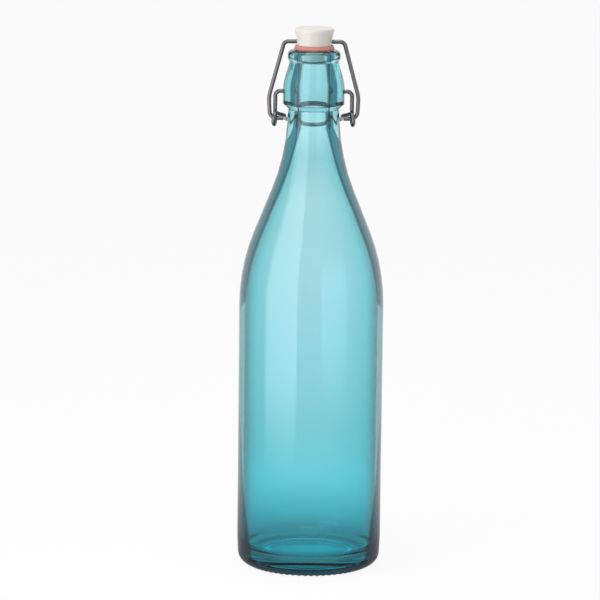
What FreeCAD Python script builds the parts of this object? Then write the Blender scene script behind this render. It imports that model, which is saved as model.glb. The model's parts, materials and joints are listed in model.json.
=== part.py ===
"""Swing top bottle of one litre: glass bottle, plastic stopper, rubber ring, wire bail and wire lever.

Millimetres, +Z up, origin at the middle of the base. The front of the bottle faces -Y and the lever's
handle lies behind the neck. Both wires turn about axes along X.
"""
import FreeCAD, Part
import math
import os

V = FreeCAD.Vector

# Glass body
glass_h = 306.4            # top of the glass, from which neck and shoulder are measured down
body_r = 42.5              # outside radius of the cylinder
body_wall = 3.2            # wall of the cylinder
heel_z = 16.0              # height where the cylinder starts to draw in to the heel
heel_draw = 0.7            # how far the side draws in between there and the base
heel_fillet = 6.5
heel_blend = 60.0
shoulder_drop = 128.0      # from the top down to where the lines of cylinder and shoulder cross
shoulder_fillet = 115.0
inner_shoulder_drop = 1.0  # how much lower those lines cross on the inside

# Base
bearing_in_r = 27.5        # inner edge of the ring that the bottle stands on
punt_r = 23.3              # edge of the pushed-up middle of the base
punt_z = 3.4               # height of that edge
punt_crown = 1.0           # how much higher the middle is
floor_t = 4.2              # glass left above the pushed-up edge, which sets the inside floor
inner_heel_fillet = 9.0
punt_round = 2.0
bearing_round = 1.5

# Neck and lip
neck_r = 14.86             # radius in the groove under the collar
neck_angle = 2.8           # slope of the neck below the groove, in degrees
neck_len = 28.7            # from the groove down to where the lines of neck and shoulder cross
neck_blend = 125.0         # hollow curve from the neck to the shoulder
groove_drop = 34.4         # from the top down to the groove
groove_round = 1.0
ledge_rise = 2.8           # height of the sloped underside of the collar
ledge_round = 0.8
collar_r = 18.0
collar_h = 12.0            # straight height of the collar
collar_blend = 30.0        # curve between the collar and the waist
waist_r = 14.2             # the drawn-in waist below the lip
waist_drop = 6.7           # from the top down to that waist
waist_round = 1.0
lip_r = 15.45
lip_round = 2.9
lip_step = 1.3             # height in which the waist widens to the lip
lip_under_round = 2.4
bore_r = 9.0               # bore at the mouth
bore_low_r = 8.5           # bore beside the groove
bore_blend = 20.0
mouth_round = 2.2
inner_neck_len = 22.9      # from the groove down to where bore and inner shoulder cross
inner_neck_r = 10.35       # radius where they cross
inner_neck_blend = 100.0

# Closure wires
wire_r = 1.2
run_gap = 0.3              # clearance of a wire in its hole, and between wires that pass
pivot_rise = 7.3           # the lever's pivot above the collar's lower edge
pin_depth = 3.8            # how deep the lever's ends sit in the glass
lever_x = 22.4             # distance of the lever's legs from the axis
lever_bend = 3.0           # bend between a pin and a leg
lever_lean = 1.6           # how far the legs lean back between the pivot and the eye
eye_drop = 16.15           # middle of the lever's eye below the pivot
eye_r = 3.25               # radius of the eye along the middle of the wire
eye_out = 0.8              # how far the front of the eye stands outside the leg
eye_in = 1.2               # how far the top of the eye leans inside the leg
eye_gap = 0.45             # clearance of the bail's pin under the slanted top of the eye
eye_turn = 0.5             # how far the wire turns in over the eye for each unit that it runs back
handle_back = 26.6         # back of the thumb handle behind the axis
handle_low = 22.0          # back of the thumb handle below the pivot
handle_gap = 0.6           # clearance of the handle's sides from the neck
handle_start = 8.0         # where the sides of the handle turn into its round back
bail_x = 26.1              # half width of the bail where the lines of its knee cross
bail_knee = 12.5           # height of that knee above the eye
bail_knee_bend = 16.0
bail_pin_x = 25.4          # half width where the lines of leg and pin cross
bail_pin_bend = 4.0        # bend between a leg and the pin in the eye
bail_top_x = 17.4          # half width at the stopper
bail_top_bend = 3.2
bail_tip_gap = 1.5         # clearance of the bail's pin tips from the neck

# Stopper and sealing ring
ring_gap = 0.25            # rest clearance between ring and lip
ring_h = 2.4
ring_r = 11.8              # widest radius of the ring
ring_top_r = 11.0
ring_bulge_z = 0.7         # height of the widest part above the ring's lower face
ring_bulge_round = 0.8
ring_under = 0.5           # how far the lower face draws in from the widest part
ring_edge_round = 0.3      # small rounds of the rubber
ring_taper_h = 1.9         # tapered foot of the ring in the mouth
ring_foot_r = 7.2
spigot_r = 5.0             # spigot that the ring is stretched over
fit_gap = 0.1              # clearance of the ring on the spigot
plug_r = 6.2               # swollen end that keeps the ring on
plug_h = 5.4
plug_round = 1.2
head_bottom_r = 10.3
head_top_r = 11.9
head_h = 10.2
head_waist_h = 3.6         # height of the straight lower part of the head
head_blend = 6.0           # curve between that part and the flare
head_round = 1.4
edge_round = 0.4           # small rounds of the plastic
hole_wall = 0.6            # plastic left under the wire's hole


def bent(corners):
    """Lines and tangent arcs through (point, bend radius) corners, sharp where the radius is 0."""
    edges = []
    last = corners[0][0]
    for i in range(1, len(corners) - 1):
        corner, bend = corners[i]
        if bend <= 0:
            edges.append(Part.LineSegment(last, corner).toShape())
            last = corner
            continue
        back = (corners[i - 1][0] - corner).normalize()
        ahead = (corners[i + 1][0] - corner).normalize()
        half = back.getAngle(ahead) / 2
        start = corner + back * (bend / math.tan(half))
        end = corner + ahead * (bend / math.tan(half))
        middle = corner + (back + ahead).normalize() * (bend / math.sin(half) - bend)
        edges.append(Part.LineSegment(last, start).toShape())
        edges.append(Part.Arc(start, middle, end).toShape())
        last = end
    edges.append(Part.LineSegment(last, corners[-1][0]).toShape())
    return edges


def turned(points):
    """Solid of revolution about Z from an outline of (radius, height, fillet) corners, closed by a line."""
    edges = bent([(V(r, 0, z), fillet) for r, z, fillet in points])
    first = edges[0].Vertexes[0].Point
    end = edges[-1].Vertexes[-1].Point
    if (first - end).Length > 1e-6:
        edges.append(Part.LineSegment(end, first).toShape())
    face = Part.Face(Part.Wire(edges))
    return face.revolve(V(0, 0, 0), V(0, 0, 1), 360)


def biarc(p0, t0, p1, t1):
    """Two arcs that join p0 to p1 with the unit tangents t0 and t1."""
    v = p1 - p0
    t = t0 + t1
    a = 2 * (1 - t0.dot(t1))
    b = 2 * v.dot(t)
    c = -v.dot(v)
    d = -c / b if a < 1e-9 else (-b + math.sqrt(b * b - 4 * a * c)) / (2 * a)
    q0 = p0 + t0 * d
    q1 = p1 - t1 * d
    join = (q0 + q1) * 0.5
    return [arc_from(p0, t0, join), arc_from(join, (q1 - q0).normalize(), p1)]


def arc_from(start, tangent, end):
    """Arc, or line where it is straight, from start along tangent to end."""
    chord = end - start
    half = chord.getAngle(tangent)
    if half < 1e-5:
        return Part.LineSegment(start, end).toShape()
    along = V(chord).normalize()
    side = tangent - along * tangent.dot(along)
    middle = (start + end) * 0.5 + side.normalize() * (chord.Length / 2 * math.tan(half / 2))
    return Part.Arc(start, middle, end).toShape()


def swept_wire(edges):
    """Round wire swept along tangent lines and arcs, with its volume against section times length."""
    path = Part.Wire(edges)
    start = path.OrderedVertexes[0].Point
    first = path.OrderedEdges[0]
    tangent = first.tangentAt(first.FirstParameter)
    if (first.valueAt(first.FirstParameter) - start).Length > 1e-4:
        tangent = first.tangentAt(first.LastParameter) * -1
    ring = Part.Wire([Part.Circle(start, tangent, wire_r).toShape()])
    solid = path.makePipeShell([ring], True, False)
    share = solid.Volume / (math.pi * wire_r ** 2 * path.Length)
    print(f"wire {path.Length:.1f} mm long, volume over section times length {share:.4f}")
    return solid


def mirrored(edges):
    """The same path on the other side of the bottle, run backwards."""
    flipped = [e.mirror(V(0, 0, 0), V(1, 0, 0)) for e in edges]
    return flipped[::-1]


# Outline values that several pieces share
hole_r = wire_r + run_gap
shoulder_z = glass_h - shoulder_drop
groove_z = glass_h - groove_drop
waist_z = glass_h - waist_drop
ledge_z = groove_z + ledge_rise
pivot_z = ledge_z + pivot_rise
ring_z = glass_h + ring_gap
head_z = ring_z + ring_h
stopper_axis_z = head_z + hole_wall + hole_r
eye_z = pivot_z - eye_drop
eye_y = lever_lean - eye_r
pin_z = eye_z + eye_r - 2 * wire_r - eye_gap       # the bail's pin hangs just under the top of the eye


def bottle():
    """Blown glass with a closed base, drawn-in shoulder, collar and rounded lip."""
    corner_r = neck_r + neck_len * math.tan(math.radians(neck_angle))
    outside = [
        (0, punt_z + punt_crown, 0),
        (punt_r, punt_z, punt_round),
        (bearing_in_r, 0, bearing_round),
        (body_r - heel_draw, 0, heel_fillet),
        (body_r, heel_z, heel_blend),
        (body_r, shoulder_z, shoulder_fillet),
        (corner_r, groove_z - neck_len, neck_blend),
        (neck_r, groove_z, groove_round),
        (collar_r, ledge_z, ledge_round),
        (collar_r, ledge_z + collar_h, collar_blend),
        (waist_r, waist_z, waist_round),
        (lip_r, waist_z + lip_step, lip_under_round),
        (lip_r, glass_h, lip_round),
    ]
    inner_r = body_r - body_wall
    floor_z = punt_z + floor_t
    inside = [
        (bore_r, glass_h, mouth_round),
        (bore_low_r, groove_z, bore_blend),
        (inner_neck_r, groove_z - inner_neck_len, inner_neck_blend),
        (inner_r, shoulder_z - inner_shoulder_drop, shoulder_fillet - body_wall),
        (inner_r, floor_z, inner_heel_fillet),
        (0, floor_z + punt_crown, 0),
    ]
    glass = turned(outside + inside)
    for side in (1, -1):
        start = V(side * (collar_r - pin_depth - run_gap), 0, pivot_z)
        glass = glass.cut(Part.makeCylinder(hole_r, 2 * pin_depth, start, V(side, 0, 0)))
    cavity = turned([(0, glass_h, 0)] + inside)
    print(f"brimful capacity {cavity.Volume / 1e6:.3f} litre")
    return glass


def stopper():
    """Moulded head on a spigot with a swollen end, crossed by the hole for the bail."""
    top = head_z + head_h
    foot = ring_z - ring_taper_h - fit_gap
    head = turned([
        (0, top, 0),
        (head_top_r, top, head_round),
        (head_bottom_r, head_z + head_waist_h, head_blend),
        (head_bottom_r, head_z, edge_round),
        (spigot_r, head_z, 0),
        (spigot_r, foot, 0),
        (plug_r, foot, edge_round),
        (plug_r, foot - plug_h, plug_round),
        (0, foot - plug_h, 0),
    ])
    hole = Part.makeCylinder(hole_r, 4 * head_top_r, V(-2 * head_top_r, 0, stopper_axis_z), V(1, 0, 0))
    return head.cut(hole)


def sealing_ring():
    """Rubber ring that flares to its lower edge, with a tapered foot in the mouth."""
    inner = spigot_r + fit_gap
    foot = ring_z - ring_taper_h
    return turned([
        (inner, head_z, 0),
        (ring_top_r, head_z, ring_edge_round),
        (ring_r, ring_z + ring_bulge_z, ring_bulge_round),
        (ring_r - ring_under, ring_z, ring_edge_round),
        (bore_r - run_gap, ring_z, ring_edge_round),
        (ring_foot_r, foot, ring_edge_round),
        (inner, foot, 0),
    ])


def bail():
    """Wire through the stopper, down both sides and in through the lever's eyes."""
    slant = V(0, -eye_y, stopper_axis_z - pin_z)
    reach = slant.Length
    up = V(slant).normalize()
    foot = V(0, eye_y, pin_z)

    def at(x, v):
        return foot + V(x, 0, 0) + up * v

    tip_x = neck_r + bail_tip_gap + wire_r
    corners = [
        (at(tip_x, 0), 0),
        (at(bail_pin_x, 0), bail_pin_bend),
        (at(bail_x, bail_knee), bail_knee_bend),
        (at(bail_top_x, reach), bail_top_bend),
        (at(-bail_top_x, reach), bail_top_bend),
        (at(-bail_x, bail_knee), bail_knee_bend),
        (at(-bail_pin_x, 0), bail_pin_bend),
        (at(-tip_x, 0), 0),
    ]
    return swept_wire(bent(corners))


def lever():
    """Wire from a hole in the collar, down a leg, once round an eye and behind the neck, and back alike."""
    crest_y = eye_y
    crest_z = eye_z + eye_r
    fall = (crest_z - (pivot_z - handle_low)) / (handle_back - crest_y)
    side_x = neck_r + wire_r + handle_gap + run_gap

    def slope_z(y):
        return crest_z - fall * (y - crest_y)

    tip = V(collar_r - pin_depth, 0, pivot_z)
    leg_top = V(lever_x, 0, pivot_z)
    leg_end = V(lever_x, lever_lean, eye_z)
    under = V(lever_x + eye_out / 2, eye_y, eye_z - eye_r)
    front = V(lever_x + eye_out, eye_y - eye_r, eye_z)
    crest = V(lever_x - eye_in, crest_y, crest_z)
    down = (leg_end - leg_top).normalize()
    forward = V(eye_out / (math.pi * eye_r), -1, 0).normalize()
    rise = V(-eye_in / (2 * eye_r), 0, 1).normalize()
    over = V(-eye_turn, 1, -fall).normalize()
    back = Part.Arc(V(side_x, handle_start, slope_z(handle_start)), V(0, handle_back, slope_z(handle_back)),
                    V(-side_x, handle_start, slope_z(handle_start))).toShape()
    side = back.valueAt(back.FirstParameter)
    side_tangent = back.tangentAt(back.FirstParameter)
    half = bent([(tip, 0), (leg_top, lever_bend), (leg_end, 0)])
    half += biarc(leg_end, down, under, forward)
    half += biarc(under, forward, front, rise)
    half += biarc(front, rise, crest, over)
    half += biarc(crest, over, side, side_tangent)
    return swept_wire(half + [back] + mirrored(half))


def main():
    os.makedirs("parts", exist_ok=True)
    pieces = {
        "glass_bottle": bottle(),
        "stopper": stopper(),
        "sealing_ring": sealing_ring(),
        "bail_wire": bail(),
        "lever_wire": lever(),
    }
    for name, shape in pieces.items():
        if not shape.isValid() or len(shape.Solids) != 1:
            raise ValueError(f"{name} is not one valid solid")
        shape.Solids[0].exportStep(f"parts/{name}.step")
        box = shape.BoundBox
        print(f"{name}: {shape.Volume / 1000:.2f} cm3, z {box.ZMin:.2f} to {box.ZMax:.2f}")


main()
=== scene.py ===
import json
import math

import bmesh
import bpy
from mathutils import Matrix, Vector


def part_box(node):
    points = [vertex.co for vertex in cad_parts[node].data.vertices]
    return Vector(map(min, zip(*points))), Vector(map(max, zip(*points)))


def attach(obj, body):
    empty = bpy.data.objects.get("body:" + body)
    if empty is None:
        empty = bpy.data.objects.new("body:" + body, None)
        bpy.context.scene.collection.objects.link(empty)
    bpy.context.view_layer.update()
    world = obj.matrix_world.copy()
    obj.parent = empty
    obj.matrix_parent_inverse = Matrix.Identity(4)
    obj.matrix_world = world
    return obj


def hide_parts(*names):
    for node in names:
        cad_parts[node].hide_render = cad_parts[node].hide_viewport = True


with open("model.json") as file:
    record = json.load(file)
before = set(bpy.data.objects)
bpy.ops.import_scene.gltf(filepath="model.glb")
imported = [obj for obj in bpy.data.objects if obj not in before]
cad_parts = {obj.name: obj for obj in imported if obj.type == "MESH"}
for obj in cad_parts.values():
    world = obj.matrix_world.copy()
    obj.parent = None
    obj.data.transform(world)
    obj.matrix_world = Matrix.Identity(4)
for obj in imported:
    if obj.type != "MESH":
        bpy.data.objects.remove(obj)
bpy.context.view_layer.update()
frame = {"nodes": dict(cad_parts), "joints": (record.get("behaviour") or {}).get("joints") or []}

bl_info = {
    "name": "Swing top bottle",
    "version": (1, 0, 0),
    "blender": (4, 5, 0),
    "location": "3D View > Sidebar > Bottle",
    "description": "Dresses the swing top bottle with glass, wire, plastic and rubber, and sets its stage",
    "category": "Object",
}

MM = 0.001
NODES = frame["nodes"]
GLASS_LOW, GLASS_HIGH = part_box("glass_bottle")
LEVER_AXIS_Z = frame["joints"][0]["pos_m"][2]
SEGMENTS_PER_RIB = 12
FLOOR_GAP = 0.2 * MM

# Tint of the glass by how steeply the surface is seen, as (facing, red, green, blue): the deepening towards
# the edges is partly the longer path through the glass and partly painted shade for the dark surroundings seen
# through the edges
SLANT_DEPTH_AND_SHADE = (
    (0.0, 1.0, 1.0, 1.0), (0.09, 0.9, 0.98, 0.98), (0.3, 0.62, 0.9, 0.91), (0.45, 0.4, 0.8, 0.81),
    (0.57, 0.17, 0.55, 0.57), (0.68, 0.05, 0.26, 0.28), (0.8, 0.008, 0.06, 0.07))
COLLAR_SLANT_DEPTH_AND_SHADE = (
    (0.0, 1.0, 1.0, 1.0), (0.56, 0.9, 1.0, 1.0), (0.7, 0.05, 0.26, 0.28), (0.8, 0.008, 0.06, 0.07))
COLLAR_BLEND = (240 * MM, 258 * MM)

# Facing between which a look runs inside the wall and misses the cavity, as (share of height, facing)
TINT_HEIGHT = 265 * MM
WALL_START = (
    (0.0, 0.42), (0.095, 0.52), (0.17, 0.63), (0.3, 0.75), (0.45, 1.0), (0.566, 1.0),
    (0.604, 0.62), (0.694, 0.55), (0.811, 0.465), (0.928, 0.276), (0.97, 0.18), (0.989, 0.14))
WALL_END = ((0.943, 1.0), (0.97, 0.5), (0.989, 0.36))
# Near-black tint of that band: partly the long path inside the wall, partly painted shade for the dark
# surroundings seen there
WALL_DEPTH_AND_SHADE = (0.003, 0.09, 0.125, 1.0)

# Tint of the glass by height, as (share of height, red, green, blue): deepest in the thick base, and deeper
# down the body as painted shade for the shaded floor seen through the lower glass
HEIGHT_DEPTH_AND_SHADE = (
    (0.0, 0.001, 0.02, 0.03), (0.019, 0.002, 0.05, 0.07), (0.028, 0.015, 0.34, 0.46),
    (0.075, 0.035, 0.78, 0.98), (0.151, 0.16, 0.86, 1.0), (0.274, 0.23, 0.72, 0.8),
    (0.406, 0.33, 0.74, 0.82), (0.585, 0.42, 0.76, 0.84), (0.811, 0.57, 0.84, 0.89),
    (0.925, 0.43, 0.73, 0.79), (0.975, 0.57, 0.87, 0.92))
BASE_FLAT_TINT = (2.5, 1.4, 1.3, 1.0)
BASE_FLAT_TOP = (10 * MM, 20 * MM)
NO_TINT = (1.0, 1.0, 1.0, 1.0)


def length(name, description, millimetres):
    """A length property whose default is written in millimetres."""
    return bpy.props.FloatProperty(
        name=name, description=description, default=millimetres * MM, unit="LENGTH", precision=5)


def colour(name, description, rgb):
    """A linear colour property."""
    return bpy.props.FloatVectorProperty(
        name=name, description=description, default=rgb, size=3, subtype="COLOR", min=0.0, max=1.0)


class GlassSizes(bpy.types.PropertyGroup):
    """Outline of the glass, from the base to the lip and back inside."""
    body_r: length("Body radius", "Outside radius of the cylinder", GLASS_HIGH.y / MM)
    body_wall: length("Body wall", "Wall of the cylinder", 3.2)
    heel_z: length("Heel height", "Height where the side starts to draw in", 16.0)
    heel_draw: length("Heel draw", "How far the side draws in to the base", 0.7)
    heel_fillet: length("Heel round", "Round between side and base", 6.5)
    bearing_in_r: length("Bearing ring", "Inner radius of the ring that it stands on", 27.5)
    punt_r: length("Push-up radius", "Edge of the pushed-up middle of the base", 23.3)
    punt_z: length("Push-up height", "Height of that edge", 3.4)
    punt_crown: length("Push-up crown", "How much higher the middle is", 1.0)
    floor_t: length("Floor", "Glass above the edge of the push-up", 4.2)
    shoulder_drop: length("Shoulder", "From the top down to where side and shoulder cross", 128.0)
    inner_shoulder_drop: length("Inner shoulder", "How much lower they cross on the inside", 1.0)
    neck_r: length("Neck radius", "Radius in the groove under the collar", 14.86)
    neck_len: length("Neck length", "From the groove down to where neck and shoulder cross", 28.7)
    groove_drop: length("Groove", "From the top down to the groove", 34.4)
    ledge_rise: length("Ledge", "Height of the sloped underside of the collar", 2.8)
    collar_r: length("Collar radius", "Widest radius of the collar", 18.0)
    collar_h: length("Collar height", "Straight height of the collar", 12.0)
    waist_r: length("Waist radius", "Drawn-in waist below the lip", 14.2)
    waist_drop: length("Waist", "From the top down to that waist", 6.7)
    lip_r: length("Lip radius", "Outside radius of the lip", 15.45)
    lip_step: length("Lip step", "Height in which the waist widens to the lip", 1.3)
    bore_r: length("Bore radius", "Bore at the mouth", 9.0)
    bore_low_r: length("Low bore radius", "Bore beside the groove", 8.5)
    inner_neck_r: length("Bore end radius", "Bore where it opens into the shoulder", 10.35)
    inner_neck_len: length("Bore end", "From the groove down to that place", 22.9)
    neck_slope: bpy.props.FloatProperty(
        name="Neck slope", description="How far the neck leans out downwards", default=math.radians(2.8),
        subtype="ANGLE")
    punt_fillet: length("Push-up round", "Round at the edge of the push-up", 2.0)
    bearing_fillet: length("Bearing round", "Round inside the bearing ring", 1.5)
    side_round: length("Side round", "Round between the drawn-in heel and the side", 60.0)
    shoulder_round: length("Shoulder round", "Round between side and shoulder", 115.0)
    neck_round: length("Neck round", "Round between shoulder and neck", 125.0)
    groove_fillet: length("Groove round", "Round in the groove under the collar", 1.0)
    ledge_fillet: length("Ledge round", "Round at the lower edge of the collar", 0.8)
    collar_round: length("Collar round", "Round between collar and waist", 30.0)
    waist_fillet: length("Waist round", "Round in the waist", 1.0)
    lip_low_fillet: length("Lip underside", "Round at the lower edge of the lip", 2.4)
    lip_fillet: length("Lip round", "Round at the upper edge of the lip", 2.9)
    mouth_fillet: length("Mouth round", "Round between lip and bore", 2.2)
    bore_round: length("Bore round", "Round in the bore beside the groove", 20.0)
    bore_end_round: length("Bore end round", "Round where the bore opens into the shoulder", 100.0)
    inner_heel_fillet: length("Inner heel round", "Round between wall and floor inside", 9.0)
    pin_hole_r: length("Pin hole radius", "Blind holes for the lever", 1.5)
    pin_hole_depth: length("Pin hole depth", "Depth of those holes below the collar", 4.1)
    knurl_h: length("Knurl height", "Height of the ribs round the base", 0.6)
    knurl_in: length("Knurl inner edge", "From the bearing ring's inner edge out to the ribs", 2.0)
    knurl_out: length("Knurl outer edge", "From the body radius in to the ribs", 2.5)
    knurl_fade: length("Knurl fade", "Width over which the ribs die out", 1.2)
    knurl_reach: length("Knurl reach", "Height above the base at which the ribs end", 1.6)
    knurl_count: bpy.props.IntProperty(
        name="Knurl ribs", description="Ribs round the base", default=66, min=12)


class Finishes(bpy.types.PropertyGroup):
    """Colours of the four materials."""
    glass_tint: colour("Glass tint", "Colour that the glass lets through", (0.2, 0.7, 0.74))
    glass_density: bpy.props.FloatProperty(
        name="Glass density", description="How fast the tint deepens with thickness, per metre", default=50.0)
    plastic: colour("Plastic", "Moulded stopper", (0.80, 0.78, 0.73))
    rubber: colour("Rubber", "Sealing ring", (0.70, 0.26, 0.21))
    wire: colour("Wire", "Drawn steel wire", (0.15, 0.15, 0.155))


class StageSetup(bpy.types.PropertyGroup):
    """Camera, floor and lamps."""
    distance: bpy.props.FloatProperty(
        name="Distance", description="Camera to the bottle's axis", default=2.1, unit="LENGTH")
    height: bpy.props.FloatProperty(
        name="Height", description="Camera above the floor", default=0.5706, unit="LENGTH")
    pitch: bpy.props.FloatProperty(
        name="Pitch", description="Downward tilt of the camera", default=math.radians(11.11), subtype="ANGLE")
    roll: bpy.props.FloatProperty(
        name="Roll", description="Roll of the camera", default=math.radians(0.68), subtype="ANGLE")
    focal: bpy.props.FloatProperty(
        name="Focal length", description="Lens in millimetres on a 36 mm frame", default=218.1)
    shift_x: bpy.props.FloatProperty(
        name="Shift", description="Sideways shift as a share of the frame", default=-0.0189)
    floor_half: bpy.props.FloatProperty(
        name="Floor", description="Half width of the floor", default=6.0, unit="LENGTH")
    shadow_share: bpy.props.FloatProperty(
        name="Shadow", description="Share of the floor's look that takes the shadow", default=0.08)
    room_light: bpy.props.FloatProperty(
        name="Room light", description="Even light from all round", default=0.52)
    left_power: bpy.props.FloatProperty(
        name="Left lamp", description="Power of the tall lamp on the left in watts", default=0.4)
    left_height: bpy.props.FloatProperty(
        name="Left lamp height", description="Middle of that lamp above the floor", default=0.215,
        unit="LENGTH")
    top_power: bpy.props.FloatProperty(
        name="Top lamp", description="Power of the square lamp overhead in watts", default=7.0)


def corners_to_line(corners, turn=math.radians(5.0), most=0.012):
    """Points of an outline through (r, z, fillet) corners, with the fillets as arcs."""
    at = [Vector((r, z)) for r, z, _ in corners]
    points = [at[0]]

    def straight_to(end):
        start = points[-1]
        steps = max(1, math.ceil((end - start).length / most))
        points.extend(start.lerp(end, i / steps) for i in range(1, steps + 1))

    for i in range(1, len(at) - 1):
        fillet = corners[i][2]
        back = (at[i - 1] - at[i]).normalized()
        ahead = (at[i + 1] - at[i]).normalized()
        if fillet <= 0:
            straight_to(at[i])
            continue
        half = back.angle(ahead) / 2
        start = at[i] + back * (fillet / math.tan(half))
        centre = at[i] + (back + ahead).normalized() * (fillet / math.sin(half))
        sweep = math.pi - 2 * half
        straight_to(start)
        spoke = start - centre
        sign = 1 if back.cross(ahead) < 0 else -1
        steps = max(3, math.ceil(sweep / turn), math.ceil(sweep * fillet / most))
        for k in range(1, steps + 1):
            points.append(centre + Matrix.Rotation(sign * sweep * k / steps, 2) @ spoke)
    straight_to(at[-1])
    return points


def glass_outline(s):
    """Closed outline of the glass from the middle of the base round to the middle of the floor."""
    top = GLASS_HIGH.z
    shoulder_z = top - s.shoulder_drop
    groove_z = top - s.groove_drop
    waist_z = top - s.waist_drop
    ledge_z = groove_z + s.ledge_rise
    corner_r = s.neck_r + s.neck_len * math.tan(s.neck_slope)
    inner_r = s.body_r - s.body_wall
    floor_z = s.punt_z + s.floor_t
    return corners_to_line([
        (0, s.punt_z + s.punt_crown, 0),
        (s.punt_r, s.punt_z, s.punt_fillet),
        (s.bearing_in_r, 0, s.bearing_fillet),
        (s.body_r - s.heel_draw, 0, s.heel_fillet),
        (s.body_r, s.heel_z, s.side_round),
        (s.body_r, shoulder_z, s.shoulder_round),
        (corner_r, groove_z - s.neck_len, s.neck_round),
        (s.neck_r, groove_z, s.groove_fillet),
        (s.collar_r, ledge_z, s.ledge_fillet),
        (s.collar_r, ledge_z + s.collar_h, s.collar_round),
        (s.waist_r, waist_z, s.waist_fillet),
        (s.lip_r, waist_z + s.lip_step, s.lip_low_fillet),
        (s.lip_r, top, s.lip_fillet),
        (s.bore_r, top, s.mouth_fillet),
        (s.bore_low_r, groove_z, s.bore_round),
        (s.inner_neck_r, groove_z - s.inner_neck_len, s.bore_end_round),
        (inner_r, shoulder_z - s.inner_shoulder_drop, s.shoulder_round - s.body_wall),
        (inner_r, floor_z, s.inner_heel_fillet),
        (0, floor_z + s.punt_crown, 0),
    ])


def smooth_window(value, low, high, soft):
    """1 between low and high, falling to 0 over soft on both sides."""
    edge = min((value - low) / soft, (high - value) / soft)
    edge = max(0.0, min(1.0, edge))
    return edge * edge * (3 - 2 * edge)


def turned_mesh(name, outline, segments, lift):
    """Mesh of revolution about Z; lift(radius, height, angle) raises a point."""
    shape = bmesh.new()
    rings = []
    for r, z in outline:
        if r < 1e-7:
            rings.append([shape.verts.new((0, 0, z))])
            continue
        ring = []
        for k in range(segments):
            angle = 2 * math.pi * k / segments
            ring.append(shape.verts.new((r * math.cos(angle), r * math.sin(angle), z + lift(r, z, angle))))
        rings.append(ring)
    for a, b in zip(rings, rings[1:]):
        for k in range(segments):
            n = (k + 1) % segments
            quad = [a[k % len(a)], a[n % len(a)], b[n % len(b)], b[k % len(b)]]
            shape.faces.new(list(dict.fromkeys(quad)))
    bmesh.ops.recalc_face_normals(shape, faces=shape.faces)
    mesh = bpy.data.meshes.new(name)
    shape.to_mesh(mesh)
    shape.free()
    mesh.shade_smooth()
    return mesh


def cut_holes(obj, s):
    """Sinks the two blind holes for the lever into the collar."""
    shape = bmesh.new()
    for side in (1, -1):
        place = Matrix.Translation((side * s.collar_r, 0, LEVER_AXIS_Z)) @ Matrix.Rotation(math.pi / 2, 4, "Y")
        bmesh.ops.create_cone(shape, cap_ends=True, segments=48, radius1=s.pin_hole_r, radius2=s.pin_hole_r,
                              depth=2 * s.pin_hole_depth, matrix=place)
    mesh = bpy.data.meshes.new("pin_holes")
    shape.to_mesh(mesh)
    shape.free()
    cutter = bpy.data.objects.new("pin_holes", mesh)
    bpy.context.scene.collection.objects.link(cutter)
    cut = obj.modifiers.new("pin_holes", "BOOLEAN")
    cut.object = cutter
    cut.operation = "DIFFERENCE"
    cut.solver = "EXACT"
    bpy.context.view_layer.update()
    done = bpy.data.meshes.new_from_object(obj.evaluated_get(bpy.context.evaluated_depsgraph_get()))
    obj.modifiers.clear()
    obj.data = done
    bpy.data.objects.remove(cutter)
    done.shade_smooth()
    done.set_sharp_from_angle(angle=math.radians(50))


def new_material(name):
    """Material with an empty tree, and its output and Principled shader."""
    material = bpy.data.materials.new(name)
    material.use_nodes = True
    tree = material.node_tree
    tree.nodes.clear()
    out = tree.nodes.new("ShaderNodeOutputMaterial")
    shader = tree.nodes.new("ShaderNodeBsdfPrincipled")
    tree.links.new(shader.outputs["BSDF"], out.inputs["Surface"])
    return material, tree, shader, out


def surface_grain():
    """Node group: cloudy mask, fine height and a varied roughness in object space."""
    name = "surface_grain"
    if name in bpy.data.node_groups:
        return bpy.data.node_groups[name]
    group = bpy.data.node_groups.new(name, "ShaderNodeTree")
    face = group.interface
    for label, value in (("Cloud Scale", 60.0), ("Fine Scale", 900.0), ("Roughness", 0.4), ("Spread", 0.1)):
        socket = face.new_socket(label, in_out="INPUT", socket_type="NodeSocketFloat")
        socket.default_value = value
    face.new_socket("Stretch", in_out="INPUT", socket_type="NodeSocketVector").default_value = (1, 1, 1)
    for label in ("Cloud", "Fine", "Roughness"):
        face.new_socket(label, in_out="OUTPUT", socket_type="NodeSocketFloat")
    add, link = group.nodes.new, group.links.new
    given, result = add("NodeGroupInput"), add("NodeGroupOutput")
    place, scaled = add("ShaderNodeTexCoord"), add("ShaderNodeVectorMath")
    scaled.operation = "MULTIPLY"
    link(place.outputs["Object"], scaled.inputs[0])
    link(given.outputs["Stretch"], scaled.inputs[1])
    cloud, fine = add("ShaderNodeTexNoise"), add("ShaderNodeTexNoise")
    cloud.inputs["Detail"].default_value = 3.0
    fine.inputs["Detail"].default_value = 2.0
    for noise, label in ((cloud, "Cloud Scale"), (fine, "Fine Scale")):
        link(scaled.outputs[0], noise.inputs["Vector"])
        link(given.outputs[label], noise.inputs["Scale"])
    centred, spread, total = add("ShaderNodeMath"), add("ShaderNodeMath"), add("ShaderNodeMath")
    centred.operation, spread.operation, total.operation = "SUBTRACT", "MULTIPLY", "ADD"
    centred.inputs[1].default_value = 0.5
    total.use_clamp = True
    link(cloud.outputs["Fac"], centred.inputs[0])
    link(centred.outputs[0], spread.inputs[0])
    link(given.outputs["Spread"], spread.inputs[1])
    link(spread.outputs[0], total.inputs[0])
    link(given.outputs["Roughness"], total.inputs[1])
    link(cloud.outputs["Fac"], result.inputs["Cloud"])
    link(fine.outputs["Fac"], result.inputs["Fine"])
    link(total.outputs[0], result.inputs["Roughness"])
    return group


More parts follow.
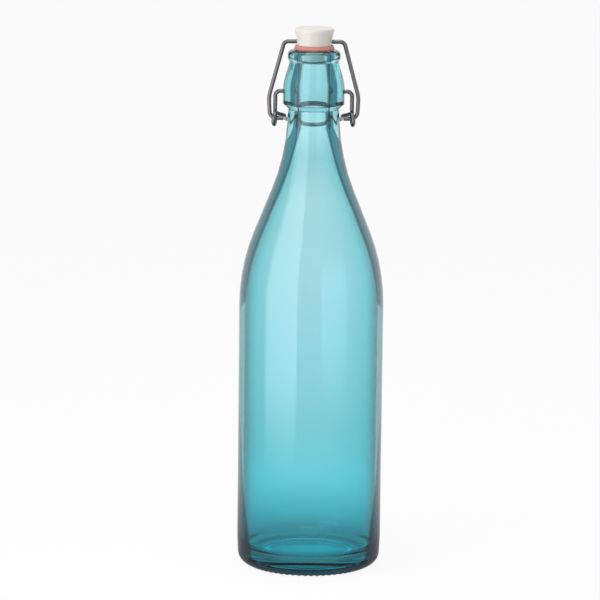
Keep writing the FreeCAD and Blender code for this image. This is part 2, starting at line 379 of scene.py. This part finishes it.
def grained(tree, shader, pale, dark, values, bump):
    """Colour between two shades, varied roughness and a fine bump from the surface grain."""
    grain = tree.nodes.new("ShaderNodeGroup")
    grain.node_tree = surface_grain()
    for label, value in values.items():
        grain.inputs[label].default_value = value
    mix = tree.nodes.new("ShaderNodeMix")
    mix.data_type = "RGBA"
    mix.inputs["A"].default_value = (*dark, 1)
    mix.inputs["B"].default_value = (*pale, 1)
    height = tree.nodes.new("ShaderNodeBump")
    height.inputs["Strength"].default_value = bump
    height.inputs["Distance"].default_value = 0.1 * MM
    tree.links.new(grain.outputs["Cloud"], mix.inputs["Factor"])
    tree.links.new(mix.outputs["Result"], shader.inputs["Base Color"])
    tree.links.new(grain.outputs["Roughness"], shader.inputs["Roughness"])
    tree.links.new(grain.outputs["Fine"], height.inputs["Height"])
    tree.links.new(height.outputs["Normal"], shader.inputs["Normal"])
    return grain


def shade(rgb, share):
    """A darker or lighter colour of the same hue."""
    return tuple(min(1.0, c * share) for c in rgb)


def ramp(tree, value, stops):
    """Colour ramp through (place, red, green, blue) stops."""
    node = tree.nodes.new("ShaderNodeValToRGB")
    marks = node.color_ramp.elements
    while len(marks) < len(stops):
        marks.new(0.5)
    for mark, (place, *rgb) in zip(marks, stops):
        mark.position = place
        mark.color = (*rgb, 1)
    tree.links.new(value, node.inputs["Fac"])
    return node.outputs["Color"]


def span(tree, value, low, high, start=0.0, end=1.0):
    """Smooth step of a value from start at low to end at high."""
    node = tree.nodes.new("ShaderNodeMapRange")
    node.interpolation_type = "SMOOTHSTEP"
    for label, number in (("From Min", low), ("From Max", high), ("To Min", start), ("To Max", end)):
        node.inputs[label].default_value = number
    tree.links.new(value, node.inputs["Value"])
    return node.outputs["Result"]


def pair(tree, operation, a, b):
    """Math node on two outputs, or on an output and a number."""
    node = tree.nodes.new("ShaderNodeMath")
    node.operation = operation
    tree.links.new(a, node.inputs[0])
    if isinstance(b, float):
        node.inputs[1].default_value = b
    else:
        tree.links.new(b, node.inputs[1])
    return node.outputs[0]


def blend(tree, factor, first, second, how="MIX"):
    """Colour mix of two outputs, or of an output and a colour."""
    node = tree.nodes.new("ShaderNodeMix")
    node.data_type = "RGBA"
    node.blend_type = how
    for label, given in (("Factor", factor), ("A", first), ("B", second)):
        if isinstance(given, (float, tuple)):
            node.inputs[label].default_value = given
        else:
            tree.links.new(given, node.inputs[label])
    return node.outputs["Result"]


def grey(*stops):
    """Ramp stops of equal red, green and blue."""
    return [(place, value, value, value) for place, value in stops]


def in_wall(tree, facing, rise, place, normal):
    """1 on the outside where a look runs inside the wall and misses the cavity; this is the mask of the
    painted wall shade.
    """
    start, end = [pair(tree, "SUBTRACT", facing, ramp(tree, rise, grey(*stops)))
                  for stops in (WALL_START, WALL_END)]
    between = pair(tree, "MULTIPLY", span(tree, start, -0.05, 0.0), span(tree, end, -0.03, 0.03, 1.0, 0.0))
    outward = pair(tree, "ADD", *[pair(tree, "MULTIPLY", place.outputs[label], normal.outputs[label])
                                  for label in ("X", "Y")])
    return pair(tree, "MULTIPLY", between, pair(tree, "GREATER_THAN", outward, 0.0))


def depth_and_shade_tint(tree):
    """Tint deeper at slants, in a band where a look runs inside the wall and down towards the heavy base,
    lighter on level faces low in the base; the deepening is partly the longer path through the glass and
    partly painted shade.
    """
    coords, side, place, normal = [tree.nodes.new("ShaderNode" + kind)
                                   for kind in ("TexCoord", "NewGeometry", "SeparateXYZ", "SeparateXYZ")]
    tree.links.new(coords.outputs["Object"], place.inputs[0])
    tree.links.new(side.outputs["Normal"], normal.inputs[0])
    facing = tree.nodes.new("ShaderNodeLayerWeight").outputs["Facing"]
    height = place.outputs["Z"]
    rise = pair(tree, "DIVIDE", height, TINT_HEIGHT)
    # Painted shade: the glass darkens towards its edges by how steeply it is seen, on top of the longer path
    # through the glass
    slant = blend(tree, span(tree, height, *COLLAR_BLEND),
                  ramp(tree, facing, SLANT_DEPTH_AND_SHADE), ramp(tree, facing, COLLAR_SLANT_DEPTH_AND_SHADE))
    # Painted shade: a near-black band where a look runs inside the wall
    slant = blend(tree, in_wall(tree, facing, rise, place, normal), slant, WALL_DEPTH_AND_SHADE, "MULTIPLY")
    level = span(tree, pair(tree, "ABSOLUTE", normal.outputs["Z"], 0.0), 0.5, 0.85)
    base_flat = pair(tree, "MULTIPLY", level, span(tree, height, *BASE_FLAT_TOP, 1.0, 0.0))
    slant = blend(tree, base_flat, slant, BASE_FLAT_TINT)
    # Painted shade: the tint deepens down the body, besides the real deep tint of the heavy base
    tint = blend(tree, 1.0, slant, ramp(tree, rise, HEIGHT_DEPTH_AND_SHADE), "MULTIPLY")
    return blend(tree, side.outputs["Backfacing"], tint, NO_TINT)


def tinted_glass(looks):
    """Clear glass whose tint deepens with thickness and with painted shade at slants, in the walls and down
    the body, with faint waves from blowing.
    """
    material, tree, shader, out = new_material("tinted_glass")
    shader.inputs["Roughness"].default_value = 0.0
    shader.inputs["IOR"].default_value = 1.52
    shader.inputs["Transmission Weight"].default_value = 1.0
    depth = tree.nodes.new("ShaderNodeVolumeAbsorption")
    depth.inputs["Color"].default_value = (*looks.glass_tint, 1)
    depth.inputs["Density"].default_value = looks.glass_density
    tree.links.new(depth.outputs["Volume"], out.inputs["Volume"])
    # Base colour carries the painted shade of the edges, the wall band and the lower body
    tree.links.new(depth_and_shade_tint(tree), shader.inputs["Base Color"])
    waves = tree.nodes.new("ShaderNodeTexNoise")
    waves.inputs["Scale"].default_value = 28.0
    waves.inputs["Detail"].default_value = 1.5
    place = tree.nodes.new("ShaderNodeTexCoord")
    height = tree.nodes.new("ShaderNodeBump")
    height.inputs["Strength"].default_value = 0.25
    height.inputs["Distance"].default_value = 0.25 * MM
    tree.links.new(place.outputs["Object"], waves.inputs["Vector"])
    tree.links.new(waves.outputs["Fac"], height.inputs["Height"])
    tree.links.new(height.outputs["Normal"], shader.inputs["Normal"])
    return material


def white_plastic(looks):
    """Satin moulded plastic with a faint mottle."""
    material, tree, shader, _ = new_material("white_plastic")
    shader.inputs["IOR"].default_value = 1.49
    shader.inputs["Subsurface Weight"].default_value = 0.25
    shader.inputs["Subsurface Scale"].default_value = 2 * MM
    values = {"Cloud Scale": 180.0, "Fine Scale": 1600.0, "Roughness": 0.34, "Spread": 0.14}
    grained(tree, shader, shade(looks.plastic, 1.03), shade(looks.plastic, 0.96), values, 0.12)
    return material


def coral_rubber(looks):
    """Soft rubber with a dusty bloom."""
    material, tree, shader, _ = new_material("coral_rubber")
    shader.inputs["IOR"].default_value = 1.5
    values = {"Cloud Scale": 260.0, "Fine Scale": 2200.0, "Roughness": 0.55, "Spread": 0.2}
    grained(tree, shader, shade(looks.rubber, 1.08), shade(looks.rubber, 0.9), values, 0.25)
    return material


def steel_wire(looks):
    """Drawn wire, bright but a little dulled, with fine scratches."""
    material, tree, shader, _ = new_material("steel_wire")
    shader.inputs["Metallic"].default_value = 1.0
    values = {"Cloud Scale": 120.0, "Fine Scale": 1400.0, "Roughness": 0.24, "Spread": 0.22,
              "Stretch": (1.0, 1.0, 0.25)}
    grained(tree, shader, shade(looks.wire, 1.15), shade(looks.wire, 0.8), values, 0.15)
    return material


def dress(node, material):
    """Gives a CAD piece its finish."""
    NODES[node].data.materials.clear()
    NODES[node].data.materials.append(material)
    for face in NODES[node].data.polygons:
        face.material_index = 0


class BOTTLE_OT_glass(bpy.types.Operator):
    """Turns the glass bottle with its ribbed base and pin holes"""
    bl_idname = "bottle.glass"
    bl_label = "Glass bottle"

    def execute(self, context):
        s = context.scene.glass_sizes

        def rib(r, z, angle):
            ring = smooth_window(r, s.bearing_in_r + s.knurl_in, s.body_r - s.knurl_out, s.knurl_fade)
            low = max(0.0, 1 - z / s.knurl_reach)
            return s.knurl_h * ring * low * (0.5 - 0.5 * math.cos(s.knurl_count * angle))

        mesh = turned_mesh("bottle_glass", glass_outline(s), SEGMENTS_PER_RIB * s.knurl_count, rib)
        glass = bpy.data.objects.new("bottle_glass", mesh)
        context.scene.collection.objects.link(glass)
        cut_holes(glass, s)
        glass.data.materials.clear()
        glass.data.materials.append(tinted_glass(context.scene.finishes))
        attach(glass, "bottle")
        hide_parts("glass_bottle")
        return {"FINISHED"}


class BOTTLE_OT_stopper(bpy.types.Operator):
    """Finishes the moulded stopper and its rubber ring"""
    bl_idname = "bottle.stopper"
    bl_label = "Stopper and ring"

    def execute(self, context):
        dress("stopper", white_plastic(context.scene.finishes))
        dress("sealing_ring", coral_rubber(context.scene.finishes))
        return {"FINISHED"}


class BOTTLE_OT_wires(bpy.types.Operator):
    """Finishes the bail and the lever"""
    bl_idname = "bottle.wires"
    bl_label = "Closure wires"

    def execute(self, context):
        material = steel_wire(context.scene.finishes)
        for node in ("bail_wire", "lever_wire"):
            dress(node, material)
        return {"FINISHED"}


def backdrop_rays(tree):
    """1 for rays of the camera, and 1 for rays of the camera, glass and metal."""
    path = tree.nodes.new("ShaderNodeLightPath")
    camera, mirror, through = [path.outputs[label]
                               for label in ("Is Camera Ray", "Is Glossy Ray", "Is Transmission Ray")]
    return camera, pair(tree, "MAXIMUM", pair(tree, "MAXIMUM", camera, mirror), through)


def floor_material(setup):
    """White floor that keeps part of the bottle's shadow, and looks shaded near the base through glass."""
    material, tree, shader, out = new_material("stage_floor")
    shader.inputs["Base Color"].default_value = (0.9, 0.9, 0.9, 1)
    shader.inputs["Roughness"].default_value = 0.9
    shader.inputs["Specular IOR Level"].default_value = 0.0
    place, reach = tree.nodes.new("ShaderNodeTexCoord"), tree.nodes.new("ShaderNodeVectorMath")
    reach.operation = "LENGTH"
    tree.links.new(place.outputs["Object"], reach.inputs[0])
    distance = reach.outputs["Value"]
    level = pair(tree, "MULTIPLY", span(tree, distance, 0.02, 0.75, 0.85),
                 span(tree, distance, 0.02, 0.25, 0.4))
    camera, seen = backdrop_rays(tree)
    glow = tree.nodes.new("ShaderNodeEmission")
    tree.links.new(pair(tree, "MAXIMUM", camera, level), glow.inputs["Strength"])
    mix = tree.nodes.new("ShaderNodeMixShader")
    tree.links.new(pair(tree, "MULTIPLY", seen, 1 - setup.shadow_share), mix.inputs["Fac"])
    tree.links.new(shader.outputs["BSDF"], mix.inputs[1])
    tree.links.new(glow.outputs["Emission"], mix.inputs[2])
    tree.links.new(mix.outputs["Shader"], out.inputs["Surface"])
    return material


def light_world(world, room_light):
    """Plain grey light, with a white backdrop for the camera, glass and metal."""
    world.use_nodes = True
    tree = world.node_tree
    tree.nodes.clear()
    out = tree.nodes.new("ShaderNodeOutputWorld")
    soft, white = tree.nodes.new("ShaderNodeBackground"), tree.nodes.new("ShaderNodeBackground")
    soft.inputs["Color"].default_value = (1, 1, 1, 1)
    soft.inputs["Strength"].default_value = room_light
    white.inputs["Color"].default_value = (1, 1, 1, 1)
    white.inputs["Strength"].default_value = 1.0
    mix = tree.nodes.new("ShaderNodeMixShader")
    tree.links.new(backdrop_rays(tree)[1], mix.inputs["Fac"])
    tree.links.new(soft.outputs["Background"], mix.inputs[1])
    tree.links.new(white.outputs["Background"], mix.inputs[2])
    tree.links.new(mix.outputs["Shader"], out.inputs["Surface"])


def softbox(name, place, target, size_x, size_y, power):
    """Rectangular area lamp aimed at a point."""
    lamp = bpy.data.lights.new(name, "AREA")
    lamp.shape = "RECTANGLE"
    lamp.size, lamp.size_y, lamp.energy = size_x, size_y, power
    obj = bpy.data.objects.new(name, lamp)
    obj.location = place
    obj.rotation_euler = (Vector(target) - Vector(place)).to_track_quat("-Z", "Y").to_euler()
    obj.visible_camera = False
    bpy.context.scene.collection.objects.link(obj)
    return lamp


def fade_ends(lamp, share):
    """Lets the light of a lamp fade smoothly over the given share of its height at both ends."""
    lamp.use_nodes = True
    tree = lamp.node_tree
    glow = next(node for node in tree.nodes if node.type == "EMISSION")
    place, split = tree.nodes.new("ShaderNodeNewGeometry"), tree.nodes.new("ShaderNodeSeparateXYZ")
    tree.links.new(place.outputs["Parametric"], split.inputs[0])
    from_end = pair(tree, "PINGPONG", split.outputs["Y"], 0.5)
    tree.links.new(span(tree, from_end, 0.0, share), glow.inputs["Strength"])


class BOTTLE_OT_stage(bpy.types.Operator):
    """Lays the floor, lights it and sets the camera"""
    bl_idname = "bottle.stage"
    bl_label = "Stage"

    def execute(self, context):
        setup = context.scene.stage_setup
        shape = bmesh.new()
        bmesh.ops.create_grid(shape, x_segments=1, y_segments=1, size=setup.floor_half)
        mesh = bpy.data.meshes.new("stage_floor")
        shape.to_mesh(mesh)
        shape.free()
        floor = bpy.data.objects.new("stage_floor", mesh)
        floor.location.z = GLASS_LOW.z - FLOOR_GAP
        floor.data.materials.append(floor_material(setup))
        context.scene.collection.objects.link(floor)
        world = bpy.data.worlds.new("stage_light")
        context.scene.world = world
        light_world(world, setup.room_light)
        middle = (0, 0, GLASS_HIGH.z / 2)
        left_place, left_target = (-0.15, -0.145, setup.left_height), (0, 0, setup.left_height)
        left = softbox("left_softbox", left_place, left_target, 0.2, 0.42, setup.left_power)
        fade_ends(left, 0.2)
        softbox("top_softbox", (-0.1, -0.2, 1.5), middle, 1.0, 1.0, setup.top_power)
        lens = bpy.data.cameras.new("camera")
        lens.lens = setup.focal
        lens.shift_x = setup.shift_x
        lens.clip_end = 50
        camera = bpy.data.objects.new("camera", lens)
        camera.matrix_world = (Matrix.Translation((0, -setup.distance, setup.height))
                               @ Matrix.Rotation(math.pi / 2 - setup.pitch, 4, "X")
                               @ Matrix.Rotation(setup.roll, 4, "Z"))
        context.scene.collection.objects.link(camera)
        context.scene.camera = camera
        context.scene.view_settings.view_transform = "Standard"
        return {"FINISHED"}


class BOTTLE_PT_sidebar(bpy.types.Panel):
    """Sizes, colours and the steps that dress the bottle"""
    bl_idname = "BOTTLE_PT_sidebar"
    bl_label = "Swing top bottle"
    bl_space_type = "VIEW_3D"
    bl_region_type = "UI"
    bl_category = "Bottle"

    def draw(self, context):
        for step in OPERATORS:
            self.layout.operator(step.bl_idname)
        for group in (context.scene.glass_sizes, context.scene.finishes, context.scene.stage_setup):
            box = self.layout.box()
            for name in group.__annotations__:
                box.prop(group, name)


OPERATORS = (BOTTLE_OT_glass, BOTTLE_OT_stopper, BOTTLE_OT_wires, BOTTLE_OT_stage)
CLASSES = (GlassSizes, Finishes, StageSetup, *OPERATORS, BOTTLE_PT_sidebar)


def register():
    """Registers the classes and hangs the property groups on the scene."""
    for each in CLASSES:
        bpy.utils.register_class(each)
    bpy.types.Scene.glass_sizes = bpy.props.PointerProperty(type=GlassSizes)
    bpy.types.Scene.finishes = bpy.props.PointerProperty(type=Finishes)
    bpy.types.Scene.stage_setup = bpy.props.PointerProperty(type=StageSetup)


def unregister():
    """Takes back what register did."""
    for name in ("glass_sizes", "finishes", "stage_setup"):
        delattr(bpy.types.Scene, name)
    for each in reversed(CLASSES):
        bpy.utils.unregister_class(each)


def main():
    """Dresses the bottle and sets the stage."""
    register()
    bpy.ops.bottle.glass()
    bpy.ops.bottle.stopper()
    bpy.ops.bottle.wires()
    bpy.ops.bottle.stage()


if __name__ == "__main__":
    main()
